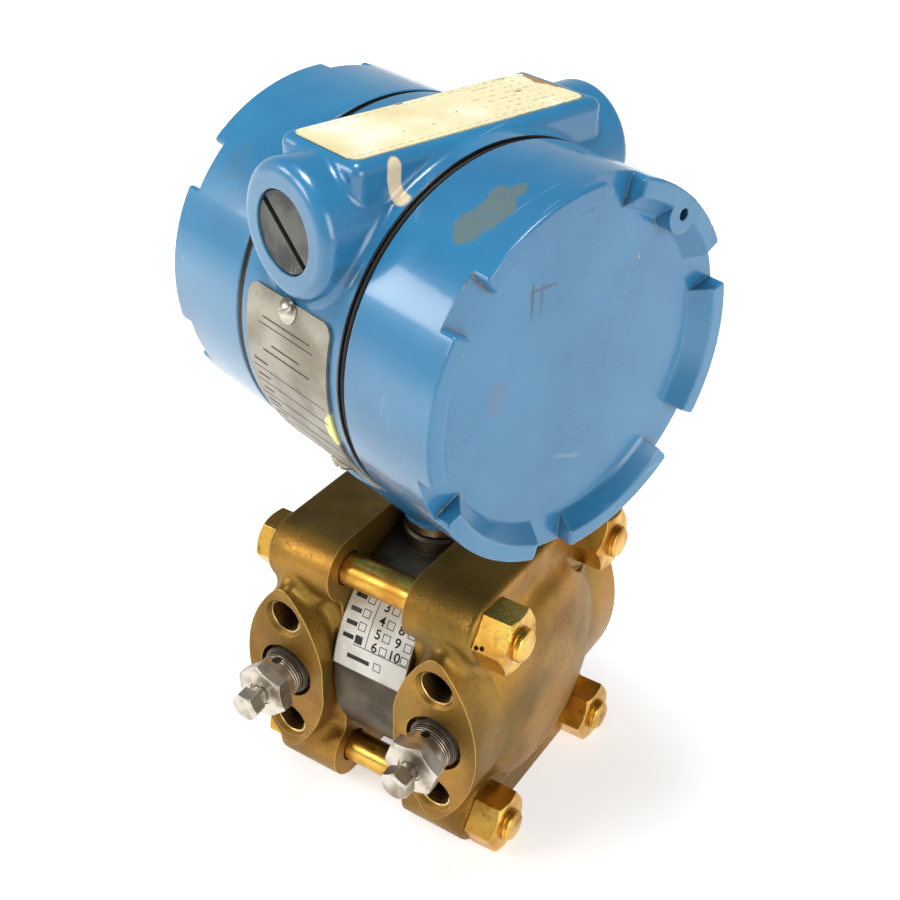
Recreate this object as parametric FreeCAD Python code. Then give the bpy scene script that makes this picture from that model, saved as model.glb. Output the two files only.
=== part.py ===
"""Differential pressure transmitter: capacitance sensor module between two process flanges,
with a round two-compartment electronics housing turned a little on its neck.

Millimetres. +Z is up, +X is the high pressure side, -Y is the front with the vent valves.
The origin is on the standing plane, below the crossing of the module axis and the neck axis.
"""
import FreeCAD, Part
import math
import os

V = FreeCAD.Vector
X, Y, Z = V(1, 0, 0), V(0, 1, 0), V(0, 0, 1)
O = V(0, 0, 0)

# ---- fits ----
thread_gap = 0.05          # radial gap of screwed pieces, drawn as plain cylinders
running_gap = 0.08         # radial gap of turning pieces
face_gap = 0.3             # gap between faces that move past each other

# ---- process flanges ----
port_spacing = 54.0        # between the two flanges' port centres, along X
manifold_bolt_rise = 41.3  # between the two bolt holes of one pad, along Z
flange_height = 93.8
flange_depth = 86.0        # from the front pad's face to the rear pad's face
flange_inner_x = 13.0      # faces clamped on the sensor module
flange_seat_x = 35.8       # faces that the bolt heads and nuts sit on
pad_width = 29.0
pad_height = 66.0
pad_tip_radius = 3.5
pad_flare = 4.0            # hollow rounding where the pads grow out of the plate
plate_width = 64.0
plate_edge = 2.0           # rounding of its outer rim
waist_radius = 5.0         # hollow rounding between lobes and sides
lobe_radius = 10.5
bolt_spread_y = 56.5
bolt_spread_z = 72.8
dome_radius = 38.0         # where its hollow foot runs out on the plate
dome_rise = 7.0
dome_root = 5.0            # how far the dome is sunk in the plate
# section of the dome: share of its rise at each share of its radius
dome_shape = ((0.0, 1.0), (0.3, 0.97), (0.55, 0.88), (0.72, 0.74), (0.82, 0.52), (0.9, 0.2), (1.0, 0.0))
wrench_radius = 13.2       # room cut in the dome for a spanner
pad_hole_radius = 5.55     # 7/16-20 thread
pad_hole_depth = 16.0
pad_hole_chamfer = 1.0
port_radius = 6.85         # 1/4-18 NPT
port_depth = 30.0
port_recess_radius = 9.4
port_recess_depth = 5.0
cavity_radius = 21.0
cavity_depth = 3.0
weep_radius = 2.4          # ways from the cavity to the two ports
weep_offset = 15.0

# ---- flange bolts and nuts ----
bolt_radius = 5.0
bolt_hole_radius = 5.6
bolt_head_flats = 15.9
bolt_head_height = 5.6
bolt_end_chamfer = 1.0
nut_flats = 17.5
nut_height = 9.5
nut_chamfer_angle = 30.0
nut_face_share = 0.97      # radius of a nut's face over half its flats
bolt_end_proud = 2.6
nut_turns = (26.0, 24.0, 26.0, 30.0)   # hexagon phase of each fastener, degrees

# ---- sensor module ----
module_radius = 38.1
module_edge = 0.8
groove_side_gap = 0.1
oil_way_radius = 1.0
lead_way_radius = 2.5
seal_groove_radius = 27.0
seal_section = 2.6
seal_squeeze = 0.5
seal_roundness = 0.42      # of its pressed depth
diaphragm_radius = 23.0
diaphragm_thickness = 0.5
diaphragm_recess = 1.2
diaphragm_waves = 4
diaphragm_wave_height = 0.45
diaphragm_wave_reach = 0.72  # of the radius
cell_radius = 20.0
cell_half_length = 9.0
cell_dish_depth = 0.9
cell_dish_radius = 15.0
sensing_diaphragm_thickness = 0.3

# ---- neck ----
neck_root = 20.0           # heights on the neck are above the module axis
collar_radius = 10.8
collar_top = 42.2
collar_chamfer = 0.7
neck_stub_radius = 8.2
neck_stub_top = 68.0
lock_ring_radius = 9.7
lock_ring_height = 4.0
lock_ring_low_chamfer = 0.6
lock_ring_top_chamfer = 0.8
header_radius = 6.6
header_thickness = 1.6
header_pin_radius = 0.5
header_pin_circle = 4.3
header_pin_length = 5.0
header_pin_count = 8

# ---- electronics housing ----
housing_turn = -16.5       # degrees about the neck, from square with the flanges
housing_axis_height = 116.3
housing_radius = 50.9
band_half_width = 20.8
spigot_step = 4.9          # from the band's outside down to the spigots
spigot_radius = housing_radius - spigot_step
spigot_length = 16.4       # beyond the band, under each cover
spigot_wall = 5.0
chamber_radius = spigot_radius - spigot_wall
housing_opening = 1.0      # how far drilled holes break through a wall
partition_thickness = 4.0
partition_low_x = 10.5     # middle of the partition's lower part
partition_high_x = -14.6   # middle of its upper part, behind the conduit entries
conduit_setback = 0.3      # from the band's outside back to the bosses' faces
conduit_reach = housing_radius - conduit_setback
conduit_boss_radius = 17.6
conduit_boss_proud = 0.1   # how far the bosses rise above the band
conduit_rise = housing_radius + conduit_boss_proud - conduit_boss_radius   # of the entries, above the axis
partition_step_drop = 14.4  # from the conduit entries down to the partition's step
partition_step_z = conduit_rise - partition_step_drop
conduit_boss_edge = 3.4
boss_flare = 2.4           # hollow rounding where a boss grows out of the band
conduit_radius = 10.67     # 1/2-14 NPT
conduit_depth = 17.0
conduit_step = 0.8         # the way behind the thread is this much smaller in radius
deck_half_width = 15.5
deck_end_gap = 10.1        # from the deck's ends to the bosses' faces
deck_half_length = conduit_reach - deck_end_gap
deck_proud = 1.0           # how far the deck lies above the band
deck_rise = housing_radius + deck_proud
deck_edge = 3.0
deck_root = 6.0            # how far the deck reaches below the conduit entries
deck_flare = 2.0           # hollow rounding between deck and band
cone_top_radius = 32.0
cone_top_height = 72.6
cone_reach = 31.7          # from the housing axis down to the top of the cone's straight root
cone_flare = 3.0           # hollow rounding between cone and band
neck_rim = 1.4             # straight rim below the cone

# ---- covers ----
cover_seam = 1.6           # width of the gap that the cover seal fills
cover_face_x = 49.75
lug_height = 5.0
lug_count = 6
lug_notch_angle = 15.0
lug_phase = 39.0
lug_width = 4.7            # of the lug ring at its top
lug_tip_radius = housing_radius - lug_width
lug_slope = 3.6            # how much wider the ring is at the face
lug_root_radius = lug_tip_radius - lug_slope
lug_foot_rise = 0.8        # small slope where the lugs meet the face
lug_corner = 1.2           # rounding of the lugs' outer corners
lug_top_edge = 0.7
cover_plate = 4.6
cover_wall = 6.7
cover_wall_radius = housing_radius - cover_wall
cover_edge = 1.0
cover_thread_relief = 0.6
pin_boss_radius = 5.0
pin_hole_radius = 1.6
pin_hole_depth = 8.0
pin_inset = 4.9            # from the cover's outside to the pin hole's middle
pin_circle = housing_radius - pin_inset

# ---- fittings of the housing ----
seal_inner_gap = 0.4
seal_outer_gap = 0.5
seal_face_gap = 0.05
seal_rounding = 0.6        # of the cover seal's outer edges
plug_edge = 0.5
plug_length = 13.0
plug_sunk = 0.5
plug_slot_width = 2.2
plug_slot_depth = 2.0
plug_slot_turn = 40.0
plate_thickness = 0.8
plate_half_width = 17.2
plate_top_angle = 17.0     # degrees above the horizontal through the housing axis
plate_low_angle = -50.0
plate_corner = 3.5
plate_screw_angles = (14.2, -47.0)
plate_screw_radius = 1.5
plate_screw_length = 7.0
plate_screw_head_radius = 3.4
plate_screw_head_height = 2.0
plate_screw_crown = 1.25   # crown's radius over the head's radius
plate_screw_slot = 0.9
plate_screw_slot_turn = 35.0
plate_notch_radius = 2.0
label_thickness = 0.25
deck_label_half_width = 12.4
deck_label_margin = 2.9
deck_label_half_length = deck_half_length - deck_label_margin
deck_label_shift = -1.0    # towards the front
deck_label_corner = 3.0
adjuster_x = -9.5
adjuster_angles = (-8.0, -30.0)
adjuster_radius = 3.0
adjuster_sunk = 0.6
adjuster_tip_radius = 1.2
adjuster_tip_length = 3.0
adjuster_slot = 0.9
adjuster_slot_depth = 1.4

# ---- module label ----
module_label_half_width = 12.7
module_label_top_angle = 57.0
module_label_low_angle = 10.8

# ---- circuit compartment ----
board_gap = 4.0            # round the boards
board_radius = chamber_radius - board_gap
board_thickness = 1.6
board_notch_half = 7.0     # notch for the leads
board_notch_depth = 9.0
amplifier_board_x = -21.0
calibration_board_x = -29.5
post_radius = 2.6
post_inset = 7.0           # from the boards' edge to the posts
post_circle = board_radius - post_inset
post_angles = (45.0, 135.0, 250.0)
post_screw_radius = 1.3
post_screw_head_radius = 2.5
post_screw_head_height = 1.8
screw_hole_gap = 0.15
pot_width = 9.6
pot_depth = 6.0
pot_length = 14.0
pot_overlap = 1.2          # how far the adjuster's tip enters the trimmer
pot_socket_gap = 0.3
pot_socket_depth = 2.0
# parts on the boards: middle y and z, then radius or width and height, then how far they stand up
amplifier_cans = ((12.0, -8.0, 6.5, 5.5), (16.0, 14.0, 3.2, 6.5))
amplifier_blocks = ((-17.0, 9.0, 14.0, 10.0, 4.0), (-16.0, -13.0, 8.0, 14.0, 3.0))
calibration_cans = ((15.0, -10.0, 2.8, 4.5),)
calibration_blocks = ((-11.5, 13.0, 9.0, 6.0, 4.5), (10.5, 13.0, 9.0, 6.0, 4.5),
                      (-8.0, -8.0, 20.0, 8.0, 3.0), (0.0, -21.0, 10.0, 6.0, 4.5))

# ---- terminal compartment ----
block_gap = 5.0            # round the block
block_radius = chamber_radius - block_gap
block_height = 9.0
block_top_gap = 4.0        # from the partition's step
block_top_z = partition_step_z - block_top_gap
block_low_z = -24.0
block_edge = 1.0
block_wall = 2.0
block_wall_height = 4.0
block_wall_low_z = -12.0
block_wall_top_z = 10.0
terminal_count = 4
terminal_pitch = 14.0
terminal_screw_radius = 1.8
terminal_screw_length = 6.5
terminal_head_radius = 4.2
terminal_head_height = 2.6
terminal_slot = 1.2
terminal_slot_depth = 1.1
terminal_plate_half = 4.6
terminal_plate_thickness = 1.0
block_screw_radius = 1.5
block_screw_head_radius = 2.8
block_screw_head_height = 2.0
block_screw_y = 18.0
block_screw_z = -18.0
feedthrough_radius = 0.8
feedthrough_reach = 4.0    # on each side of the partition
feedthrough_bead_radius = 2.0
feedthrough_spacing = 9.0
feedthrough_drop = 3.4     # below the conduit entries' axis
feedthrough_rise = conduit_rise - feedthrough_drop

# ---- vent valves ----
seat_thread_length = 14.0
seat_thread_radius = port_radius - thread_gap
seat_lip_radius = 8.0
seat_lip_length = 1.6
seat_barrel_radius = 7.1
seat_barrel_out = 7.6      # barrel's end in front of the pad
seat_hex_flats = 15.9
seat_hex_length = 4.6
seat_bore_radius = 3.9
seat_vent_radius = 1.5
seat_way_radius = 0.8
seat_turns = {"high": 12.0, "low": 40.0}   # hexagon phase, degrees
stem_radius = seat_bore_radius - running_gap
stem_inside = 16.0
stem_point = 3.0
stem_shoulder = 0.4        # how far the stem's thick part lies inside the seat's mouth
stem_neck_radius = 3.0
stem_neck_length = 3.2
stem_hex_flats = 8.2
stem_hex_length = 4.4
stem_turns = {"high": 32.0, "low": 60.0}

# ---- worked out ----
half_partition = partition_thickness / 2
foot_height = flange_height / 2
module_half_length = flange_inner_x
port_x = port_spacing / 2
pad_y = flange_depth / 2
seam_x = band_half_width + cover_seam
lug_tip_x = cover_face_x + lug_height
spigot_end_x = band_half_width + spigot_length
neck_base = collar_top + lock_ring_height + face_gap
block_face_x = partition_low_x + half_partition + block_height
seat_hex_end = -pad_y - seat_barrel_out - seat_hex_length
far = 200.0                # beyond the whole object
tiny = 0.01
bolt_places = [(sy * bolt_spread_y / 2, sz * bolt_spread_z / 2)
               for sz in (1, -1) for sy in (-1, 1)]


# ---- small helpers ----
def cylinder(radius, length, base, axis):
    return Part.makeCylinder(radius, length, base, axis)


def box(x0, x1, y0, y1, z0, z1):
    return Part.makeBox(x1 - x0, y1 - y0, z1 - z0, V(x0, y0, z0))


def face_of(points):
    """Closed face through points given in one plane."""
    return Part.Face(Part.makePolygon(list(points) + [points[0]]))


def turned(points, axis):
    """Solid of revolution about X, Y or Z, from (along, radius) pairs."""
    side = {0: Z, 1: Z, 2: X}[(X, Y, Z).index(axis)]
    wire = [axis * along + side * radius for along, radius in points]
    return face_of(wire).revolve(O, axis, 360)


def hexagon(flats, base, axis, length, turn):
    """Hexagonal bar; turn is measured from +Z, or from +X on an upright bar."""
    start = X if abs(axis.z) > 0.5 else Z
    other = axis.cross(start)
    corner = flats / math.sqrt(3)
    ring = [base + start * (corner * math.cos(math.radians(turn + 60 * i)))
            + other * (corner * math.sin(math.radians(turn + 60 * i))) for i in range(6)]
    return face_of(ring).extrude(axis * length)


def hex_nut(flats, base, axis, length, turn):
    """Hexagon whose outer corners are turned off at 30 degrees, to a disc on its face."""
    corner = flats / math.sqrt(3)
    face_radius = flats / 2 * nut_face_share
    drop = (corner - face_radius) * math.tan(math.radians(nut_chamfer_angle))
    bar = hexagon(flats, O, Z, length, turn)
    cone = turned([(0, 0), (0, corner), (length - drop, corner), (length, face_radius), (length, 0)], Z)
    nut = bar.common(cone)
    nut.Placement = FreeCAD.Placement(base, FreeCAD.Rotation(Z, axis))
    return nut


def radial(shape, angle, radius, along=0.0):
    """Takes a shape built on +Z, base at the origin, to the housing band's outside.

    angle is degrees above the horizontal on the front side; radius is that of the base."""
    shape = shape.copy()
    shape.rotate(O, X, 90 - angle)
    spot = V(along, -radius * math.cos(math.radians(angle)),
             radius * math.sin(math.radians(angle)))
    shape.translate(spot + Z * housing_axis_height)
    return shape


def on_axis(shape):
    """Moves a shape built about the X axis up to the housing axis."""
    shape = shape.copy()
    shape.translate(Z * housing_axis_height)
    return shape


def mirrored(shape):
    """The same piece on the low pressure side."""
    return shape.mirror(O, X)


def reach(edge):
    """How far an edge's middle is from the X axis."""
    middle = edge.valueAt((edge.FirstParameter + edge.LastParameter) / 2)
    return math.hypot(middle.y, middle.z)


def seam(body, first, second):
    """Edges of a joined body along which the outsides of two of its parts meet."""
    found = []
    for edge in body.Edges:
        middle = Part.Vertex(edge.valueAt((edge.FirstParameter + edge.LastParameter) / 2))
        if all(part.Shells[0].distToShape(middle)[0] < tiny for part in (first, second)):
            found.append(edge)
    return found


def one(shape):
    """The single solid of a finished piece."""
    shape = shape.removeSplitter()
    if len(shape.Solids) != 1:
        raise ValueError("expected one solid, got %d" % len(shape.Solids))
    return shape.Solids[0]


# ---- process flanges ----
def eye_face(half_width, half_height, y):
    """Pad outline: two arcs that meet in rounded tips above and below the port."""
    left, right = V(port_x - half_width, y, 0), V(port_x + half_width, y, 0)
    top, low = V(port_x, y, half_height), V(port_x, y, -half_height)
    wire = Part.Wire([Part.Arc(low, right, top).toShape(), Part.Arc(top, left, low).toShape()])
    return Part.Face(wire)


def flange_plate():
    """Plate with four bolt lobes, flat on top and bottom, waisted at the sides."""
    thickness = flange_seat_x - flange_inner_x
    base = flange_inner_x
    side_y, side_z = bolt_spread_y / 2, bolt_spread_z / 2
    plate = box(base, base + thickness, -plate_width / 2, plate_width / 2, -side_z, side_z)
    bridge = box(base, base + thickness, -side_y, side_y, -flange_height / 2, flange_height / 2)
    lobes = [cylinder(lobe_radius, thickness, V(base, y, z), X) for y, z in bolt_places]
    plate = plate.multiFuse([bridge] + lobes).removeSplitter()
    waist = [e for e in plate.Edges
             if e.BoundBox.XLength > thickness / 2 and abs(e.BoundBox.Center.z) < side_z]
    plate = plate.makeFillet(waist_radius, waist)
    rim = [e for e in plate.Edges if e.BoundBox.XMin > flange_seat_x - tiny]
    return plate.makeFillet(plate_edge, rim)


def flange_barrel():
    """Body of the ports, from pad to pad, with the pads' eye-shaped section."""
    barrel = eye_face(pad_width / 2, pad_height / 2, -pad_y).extrude(Y * flange_depth)
    tips = [e for e in barrel.Edges
            if abs(abs(e.BoundBox.ZMax) - pad_height / 2) < 0.01 and e.BoundBox.YLength > 1
            or abs(abs(e.BoundBox.ZMin) - pad_height / 2) < 0.01 and e.BoundBox.YLength > 1]
    return barrel.makeFillet(pad_tip_radius, tips)


def flange_dome():
    """Low round boss on the outside of the flange, its foot running out in a hollow curve."""
    base = flange_seat_x - dome_root
    rim = [V(flange_seat_x + dome_rise * rise, 0, dome_radius * share) for share, rise in dome_shape]
    curve = Part.BSplineCurve()
    curve.interpolate(rim)
    sides = Part.makePolygon([rim[-1], V(base, 0, dome_radius), V(base, 0, 0), rim[0]])
    section = Part.Face(Part.Wire([curve.toShape()] + sides.Edges))
    return section.revolve(O, X, 360)


def pad_holes():
    """Threaded bolt holes of both pads, chamfered, and the front and rear ports."""
    cuts = []
    for side in (-1, 1):
        face_y = side * pad_y
        inward = Y * -side
        for rise in (-1, 1):
            spot = V(port_x, face_y, rise * manifold_bolt_rise / 2)
            cuts.append(cylinder(pad_hole_radius, pad_hole_depth, spot, inward))
            cuts.append(Part.makeCone(pad_hole_radius + pad_hole_chamfer, pad_hole_radius,
                                      pad_hole_chamfer, spot, inward))
        cuts.append(cylinder(port_radius, port_depth, V(port_x, face_y, 0), inward))
    cuts.append(cylinder(port_recess_radius, port_recess_depth, V(port_x, -pad_y, 0), Y))
    return cuts


def flange():
    plate = flange_plate()
    barrel = flange_barrel().cut(box(-far, flange_inner_x, -far, far, -far, far))
    body = plate.fuse(barrel).removeSplitter()
    flare = [e for e in seam(body, plate, barrel) if e.BoundBox.XMax > flange_inner_x + tiny]
    body = body.makeFillet(pad_flare, flare).fuse(flange_dome())
    length = flange_seat_x - flange_inner_x
    cuts = pad_holes()
    for y, z in bolt_places:
        cuts.append(cylinder(bolt_hole_radius, length, V(flange_inner_x, y, z), X))
        cuts.append(cylinder(wrench_radius, far, V(flange_seat_x, y, z), X))
    cuts.append(cylinder(cavity_radius, cavity_depth, V(flange_inner_x, 0, 0), X))
    for y in (-weep_offset, weep_offset):
        cuts.append(cylinder(weep_radius, port_x - flange_inner_x, V(flange_inner_x, y, 0), X))
    return one(body.cut(cuts))


# ---- bolts and nuts ----
def flange_bolt(y, z, turn):
    """Hexagon bolt from the low side, its chamfered end proud of the nut."""
    end_x = flange_seat_x + nut_height + bolt_end_proud
    shank = turned([(-flange_seat_x, 0), (-flange_seat_x, bolt_radius),
                    (end_x - bolt_end_chamfer, bolt_radius), (end_x, bolt_radius - bolt_end_chamfer),
                    (end_x, 0)], X)
    head = hex_nut(bolt_head_flats, V(-flange_seat_x, 0, 0), X * -1, bolt_head_height, turn)
    bolt = shank.fuse(head)
    bolt.translate(V(0, y, z))
    return one(bolt)


def flange_nut(y, z, turn):
    nut = hex_nut(nut_flats, V(flange_seat_x, 0, 0), X, nut_height, turn)
    nut = nut.cut(cylinder(bolt_radius + thread_gap, far, O, X))
    nut.translate(V(0, y, z))
    return one(nut)


# ---- sensor module ----
def sensor_module():
    """Welded body: the cell's round casing with the neck stub that carries the housing."""
    half = module_half_length
    edge = module_edge
    body = turned([(-half, 0), (-half, module_radius - edge), (-half + edge, module_radius),
                   (half - edge, module_radius), (half, module_radius - edge), (half, 0)], X)
    neck = turned([(neck_root, 0), (neck_root, collar_radius),
                   (collar_top - collar_chamfer, collar_radius),
                   (collar_top, collar_radius - collar_chamfer), (collar_top, neck_stub_radius),
                   (neck_stub_top, neck_stub_radius), (neck_stub_top, 0)], Z)
    cell_room = cell_half_length + thread_gap
    cuts = [cylinder(cell_radius + thread_gap, 2 * cell_room, V(-cell_room, 0, 0), X),
            cylinder(oil_way_radius, 2 * half, V(-half, 0, 0), X),
            cylinder(lead_way_radius, neck_stub_top, O, Z)]
    groove_low = seal_groove_radius - seal_section / 2 - groove_side_gap
    groove_high = seal_groove_radius + seal_section / 2 + groove_side_gap
    for side in (-1, 1):
        face = V(side * half, 0, 0)
        inward = X * -side
        cuts.append(cylinder(diaphragm_radius + thread_gap, diaphragm_recess, face, inward))
        ring = cylinder(groove_high, seal_section - seal_squeeze, face, inward)
        cuts.append(ring.cut(cylinder(groove_low, seal_section, face, inward)))
    return one(body.fuse(neck).cut(cuts))


def process_seal():
    """O-ring pressed flat between the module's groove and the flange."""
    depth = seal_section - seal_squeeze
    ring = turned([(0, seal_groove_radius - seal_section / 2),
                   (0, seal_groove_radius + seal_section / 2),
                   (depth, seal_groove_radius + seal_section / 2),
                   (depth, seal_groove_radius - seal_section / 2)], X)
    ring = ring.makeFillet(depth * seal_roundness, ring.Edges)
    ring.translate(V(module_half_length - depth, 0, 0))
    return one(ring)


def isolating_diaphragm():
    """Thin convoluted disc, its rim welded in the module's end recess."""
    wave = diaphragm_radius * diaphragm_wave_reach / (2 * diaphragm_waves)
    profile = [(0.0, 0.0)]
    for i in range(1, 2 * diaphragm_waves):
        profile.append((diaphragm_wave_height * (i % 2), wave * i))
    profile += [(0.0, 2 * wave * diaphragm_waves), (0.0, diaphragm_radius)]
    back = [(x + diaphragm_thickness, r) for x, r in reversed(profile)]
    disc = turned(profile + back, X)
    disc.translate(V(module_half_length - diaphragm_recess, 0, 0))
    return one(disc)


def cell_cup():
    """Half of the sensing cell, dished towards the sensing diaphragm."""
    start = sensing_diaphragm_thickness / 2
    body = cylinder(cell_radius, cell_half_length - start, V(start, 0, 0), X)
    ball_radius = (cell_dish_radius ** 2 + cell_dish_depth ** 2) / (2 * cell_dish_depth)
    dish = Part.makeSphere(ball_radius, V(start + cell_dish_depth - ball_radius, 0, 0))
    oil_way = cylinder(oil_way_radius, cell_half_length, V(start, 0, 0), X)
    return one(body.cut([dish, oil_way]))


def sensing_diaphragm():
    return cylinder(cell_radius, sensing_diaphragm_thickness,
                    V(-sensing_diaphragm_thickness / 2, 0, 0), X)


def lock_ring():
    """Ring that locks the housing on the neck thread."""
    inner = neck_stub_radius + thread_gap
    low, high = collar_top, collar_top + lock_ring_height
    return turned([(low, inner), (low, lock_ring_radius - lock_ring_low_chamfer),
                   (low + lock_ring_low_chamfer, lock_ring_radius),
                   (high - lock_ring_top_chamfer, lock_ring_radius),
                   (high, lock_ring_radius - lock_ring_top_chamfer), (high, inner)], Z)


def header_board():
    """Round board on top of the neck stub, with the pins of the cell's leads."""
    board = cylinder(header_radius, header_thickness, V(0, 0, neck_stub_top), Z)
    pins = []
    for i in range(header_pin_count):
        angle = 2 * math.pi * i / header_pin_count
        spot = V(math.cos(angle), math.sin(angle), 0) * header_pin_circle
        pins.append(cylinder(header_pin_radius, header_thickness + header_pin_length,
                             spot + Z * neck_stub_top, Z))
    return one(board.multiFuse(pins))


def curved_label(radius, half_width, low_angle, high_angle):
    """Label on the front of a cylinder about X."""
    outer = radius + label_thickness
    section = face_of([V(-half_width, -radius, 0), V(half_width, -radius, 0),
                       V(half_width, -outer, 0), V(-half_width, -outer, 0)])
    sheet = section.revolve(O, X, high_angle - low_angle)
    sheet.rotate(O, X, -high_angle)
    return one(sheet)


# ---- vent valves ----
def valve_seat(turn):
    """Seat screwed in the front port: thread, barrel with a cross vent, hexagon."""
    face = -pad_y
    deep = face + port_recess_depth
    out = face - seat_barrel_out
    end = seat_hex_end
    body = turned([(deep + seat_thread_length, 0), (deep + seat_thread_length, seat_thread_radius),
                   (face + seat_lip_length, seat_thread_radius),
                   (face + seat_lip_length, seat_lip_radius), (face, seat_lip_radius),
                   (face, seat_barrel_radius), (out, seat_barrel_radius), (out, 0)], Y)
    body = body.fuse(hex_nut(seat_hex_flats, V(0, out, 0), Y * -1, seat_hex_length, turn))
    bore_length = stem_inside + running_gap
    bore = cylinder(seat_bore_radius, bore_length, V(0, end, 0), Y)
    cone = Part.makeCone(seat_bore_radius, seat_way_radius, stem_point,
                         V(0, end + bore_length, 0), Y)
    way = cylinder(seat_way_radius, far, V(0, end, 0), Y)
    vent = cylinder(seat_vent_radius, far, V(0, (face + out) / 2, 0), Z)
    return one(body.cut([bore, cone, way, vent]))


def valve_stem(turn):
    """Stem whose point closes the seat, turned by its small hexagon."""
    shoulder = seat_hex_end + stem_shoulder
    neck_end = seat_hex_end - stem_neck_length
    tip = seat_hex_end + stem_inside
    body = turned([(tip + stem_point, 0), (tip + stem_point, seat_way_radius - running_gap),
                   (tip, stem_radius), (shoulder, stem_radius), (shoulder, stem_neck_radius),
                   (neck_end, stem_neck_radius), (neck_end, 0)], Y)
    head = hex_nut(stem_hex_flats, V(0, neck_end, 0), Y * -1, stem_hex_length, turn)
    return one(body.fuse(head))


# ---- electronics housing ----
def neck_cone():
    """Cone that joins the band to the neck, cut flush with the band's two sides."""
    foot = collar_radius
    root_top = housing_axis_height - cone_reach
    cone = turned([(neck_base, 0), (neck_base, foot), (neck_base + neck_rim, foot),
                   (cone_top_height, cone_top_radius), (root_top, cone_top_radius), (root_top, 0)], Z)
    return cone.common(box(-band_half_width, band_half_width, -far, far, -far, far))


def conduit_boss(side):
    height = housing_axis_height + conduit_rise
    boss = cylinder(conduit_boss_radius, conduit_reach, V(0, 0, height), Y * side)
    rim = [e for e in boss.Edges
           if abs(e.BoundBox.Center.y - side * conduit_reach) < 0.01 and e.BoundBox.YLength < 0.01]
    return boss.makeFillet(conduit_boss_edge, rim)


def deck():
    """Flat pad across the top, from boss to boss."""
    top = housing_axis_height + deck_rise
    block = box(-deck_half_width, deck_half_width, -deck_half_length, deck_half_length,
                housing_axis_height + conduit_rise - deck_root, top)
    edges = [e for e in block.Edges if e.BoundBox.ZMax > top - 0.01]
    return block.makeFillet(deck_edge, edges)


def chambers():
    """Room for the terminals on the +X side and for the circuits on the -X side.

    The partition steps back above its middle, so that both conduit entries open on the terminals."""
    def room(x0, x1, z0, z1):
        return cylinder(chamber_radius, x1 - x0, V(x0, 0, 0), X).common(box(x0, x1, -far, far, z0, z1))

    low, high = partition_low_x, partition_high_x
    step, half = partition_step_z, half_partition
    rooms = [room(low + half, far, -far, far), room(high + half, far, step + half, far),
             room(-far, high - half, -far, far), room(-far, low - half, -far, step - half)]
    return [on_axis(s) for s in rooms]


def adjuster_holes():
    """Holes from the band's outside to the circuit chamber."""
    length = housing_radius - chamber_radius + 2 * housing_opening
    hole = cylinder(adjuster_radius + running_gap, length, Z * -length, Z)
    return [radial(hole, angle, housing_radius + housing_opening, adjuster_x)
            for angle in adjuster_angles]


def plate_screw_holes():
    hole = cylinder(plate_screw_radius + thread_gap, 2 * plate_screw_length,
                    Z * -plate_screw_length, Z)
    return [radial(hole, angle, housing_radius) for angle in plate_screw_angles]


def feedthrough_ys():
    return [-feedthrough_spacing / 2, feedthrough_spacing / 2]


def housing_outside():
    """Band with its conduit bosses, deck and neck cone, run together as one casting."""
    band = on_axis(cylinder(housing_radius, 2 * band_half_width, V(-band_half_width, 0, 0), X))
    front, rear, top, cone = conduit_boss(-1), conduit_boss(1), deck(), neck_cone()
    body = band.multiFuse([front, rear, top]).removeSplitter()
    body = body.makeFillet(boss_flare, seam(body, band, front) + seam(body, band, rear))
    body = body.makeFillet(deck_flare, seam(body, band, top))
    body = body.fuse(cone).removeSplitter()
    return body.makeFillet(cone_flare, seam(body, band, cone))


def conduit_entries():
    """A threaded hole in each boss, and the way through to the chamber."""
    height = housing_axis_height + conduit_rise
    way = cylinder(conduit_radius - conduit_step, 2 * conduit_reach, V(0, -conduit_reach, height), Y)
    holes = [cylinder(conduit_radius, conduit_depth, V(0, side * conduit_reach, height), Y * -side)
             for side in (-1, 1)]
    return holes + [way]


def electronics_housing():
    """Cast body: the outside, cover spigots, partition and all holes."""
    spigot = on_axis(cylinder(spigot_radius, 2 * spigot_end_x, V(-spigot_end_x, 0, 0), X))
    neck_bore = cylinder(neck_stub_radius + running_gap,
                         housing_axis_height - chamber_radius + housing_opening, O, Z)
    glands = [on_axis(cylinder(feedthrough_bead_radius + thread_gap, partition_thickness,
                               V(partition_high_x - half_partition, y, feedthrough_rise), X))
              for y in feedthrough_ys()]
    cuts = chambers() + conduit_entries() + [neck_bore] + glands
    cuts += adjuster_holes() + plate_screw_holes()
    return one(housing_outside().fuse(spigot).cut(cuts))


def notch_cutter(middle):
    """Sector between two lugs."""
    low = lug_root_radius - lug_height
    section = face_of([V(cover_face_x, 0, low), V(far, 0, low), V(far, 0, far), V(cover_face_x, 0, far)])
    wedge = section.revolve(O, X, lug_notch_angle)
    wedge.rotate(O, X, -middle - lug_notch_angle / 2)
    return wedge


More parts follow.
